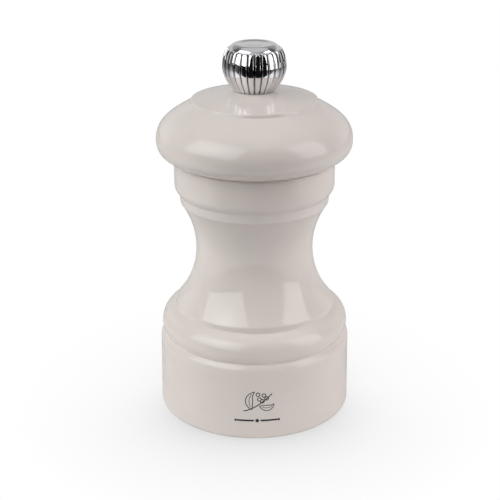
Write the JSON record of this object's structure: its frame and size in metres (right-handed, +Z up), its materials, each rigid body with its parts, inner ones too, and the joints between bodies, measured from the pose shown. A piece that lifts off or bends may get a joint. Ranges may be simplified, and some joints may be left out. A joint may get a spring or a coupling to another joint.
{
  "type": "pepper mill",
  "caption": "Turned, lacquered pepper mill with a waisted body, a bun-shaped turning head, a fluted chrome knob and a steel grinding set inside.",
  "frame": {"origin": "middle of the ring that the mill stands on", "axes": "+Z up along the turning axis; -Y is the side that carries the printed mark"},
  "size_m": [0.0522, 0.0522, 0.1],
  "materials": {
    "lacquered_wood": "gloss light warm grey lacquer over turned wood",
    "knob_chrome": "polished",
    "turned_brass": "turned",
    "shaft_steel": "drawn bar",
    "hardened_steel": "case-hardened, machined",
    "plated_steel": "zinc plated",
    "spring_steel": "drawn wire"
  },
  "bodies": {
    "mill_body": {"body_shell": "lacquered_wood", "stator": "hardened_steel", "mill_housing": "plated_steel", "upper_bridge": "plated_steel", "guide_bush": "turned_brass", "bottom_strap": "plated_steel", "strap_screw_1": "plated_steel", "strap_screw_2": "plated_steel"},
    "turning_core": {"thrust_washer": "plated_steel", "spring": "spring_steel"},
    "spindle": {"shaft": "shaft_steel", "rotor": "hardened_steel", "rotor_nut": "plated_steel", "spring_seat": "plated_steel"},
    "head": {"head_shell": "lacquered_wood", "drive_plate": "plated_steel", "drive_plate_tack_1": "plated_steel", "drive_plate_tack_2": "plated_steel", "drive_plate_tack_3": "plated_steel"},
    "knob": {"knob": "knob_chrome", "knob_insert": "turned_brass"}
  },
  "joints": [
    {"name": "head_turn", "type": "hinge", "parent": "mill_body", "child": "turning_core", "pos_m": [0, 0, 0.0192], "axis": [0, 0, 1], "continuous": true},
    {"name": "fineness", "type": "slide", "parent": "turning_core", "child": "spindle", "axis": [0, 0, 1], "range_m": [0, 0.0016], "deforming": ["spring"]},
    {"name": "head_lift", "type": "slide", "parent": "turning_core", "child": "head", "axis": [0, 0, 1], "range_m": [0, 0.045]},
    {"name": "knob_turn", "type": "hinge", "parent": "head", "child": "knob", "pos_m": [0, 0, 0.088], "axis": [0, 0, 1], "range_deg": [-720, 0]}
  ],
  "couplings": [
    {"joint": "fineness", "follows": "knob_turn", "m_per_rad": -0.00012732}
  ]
}
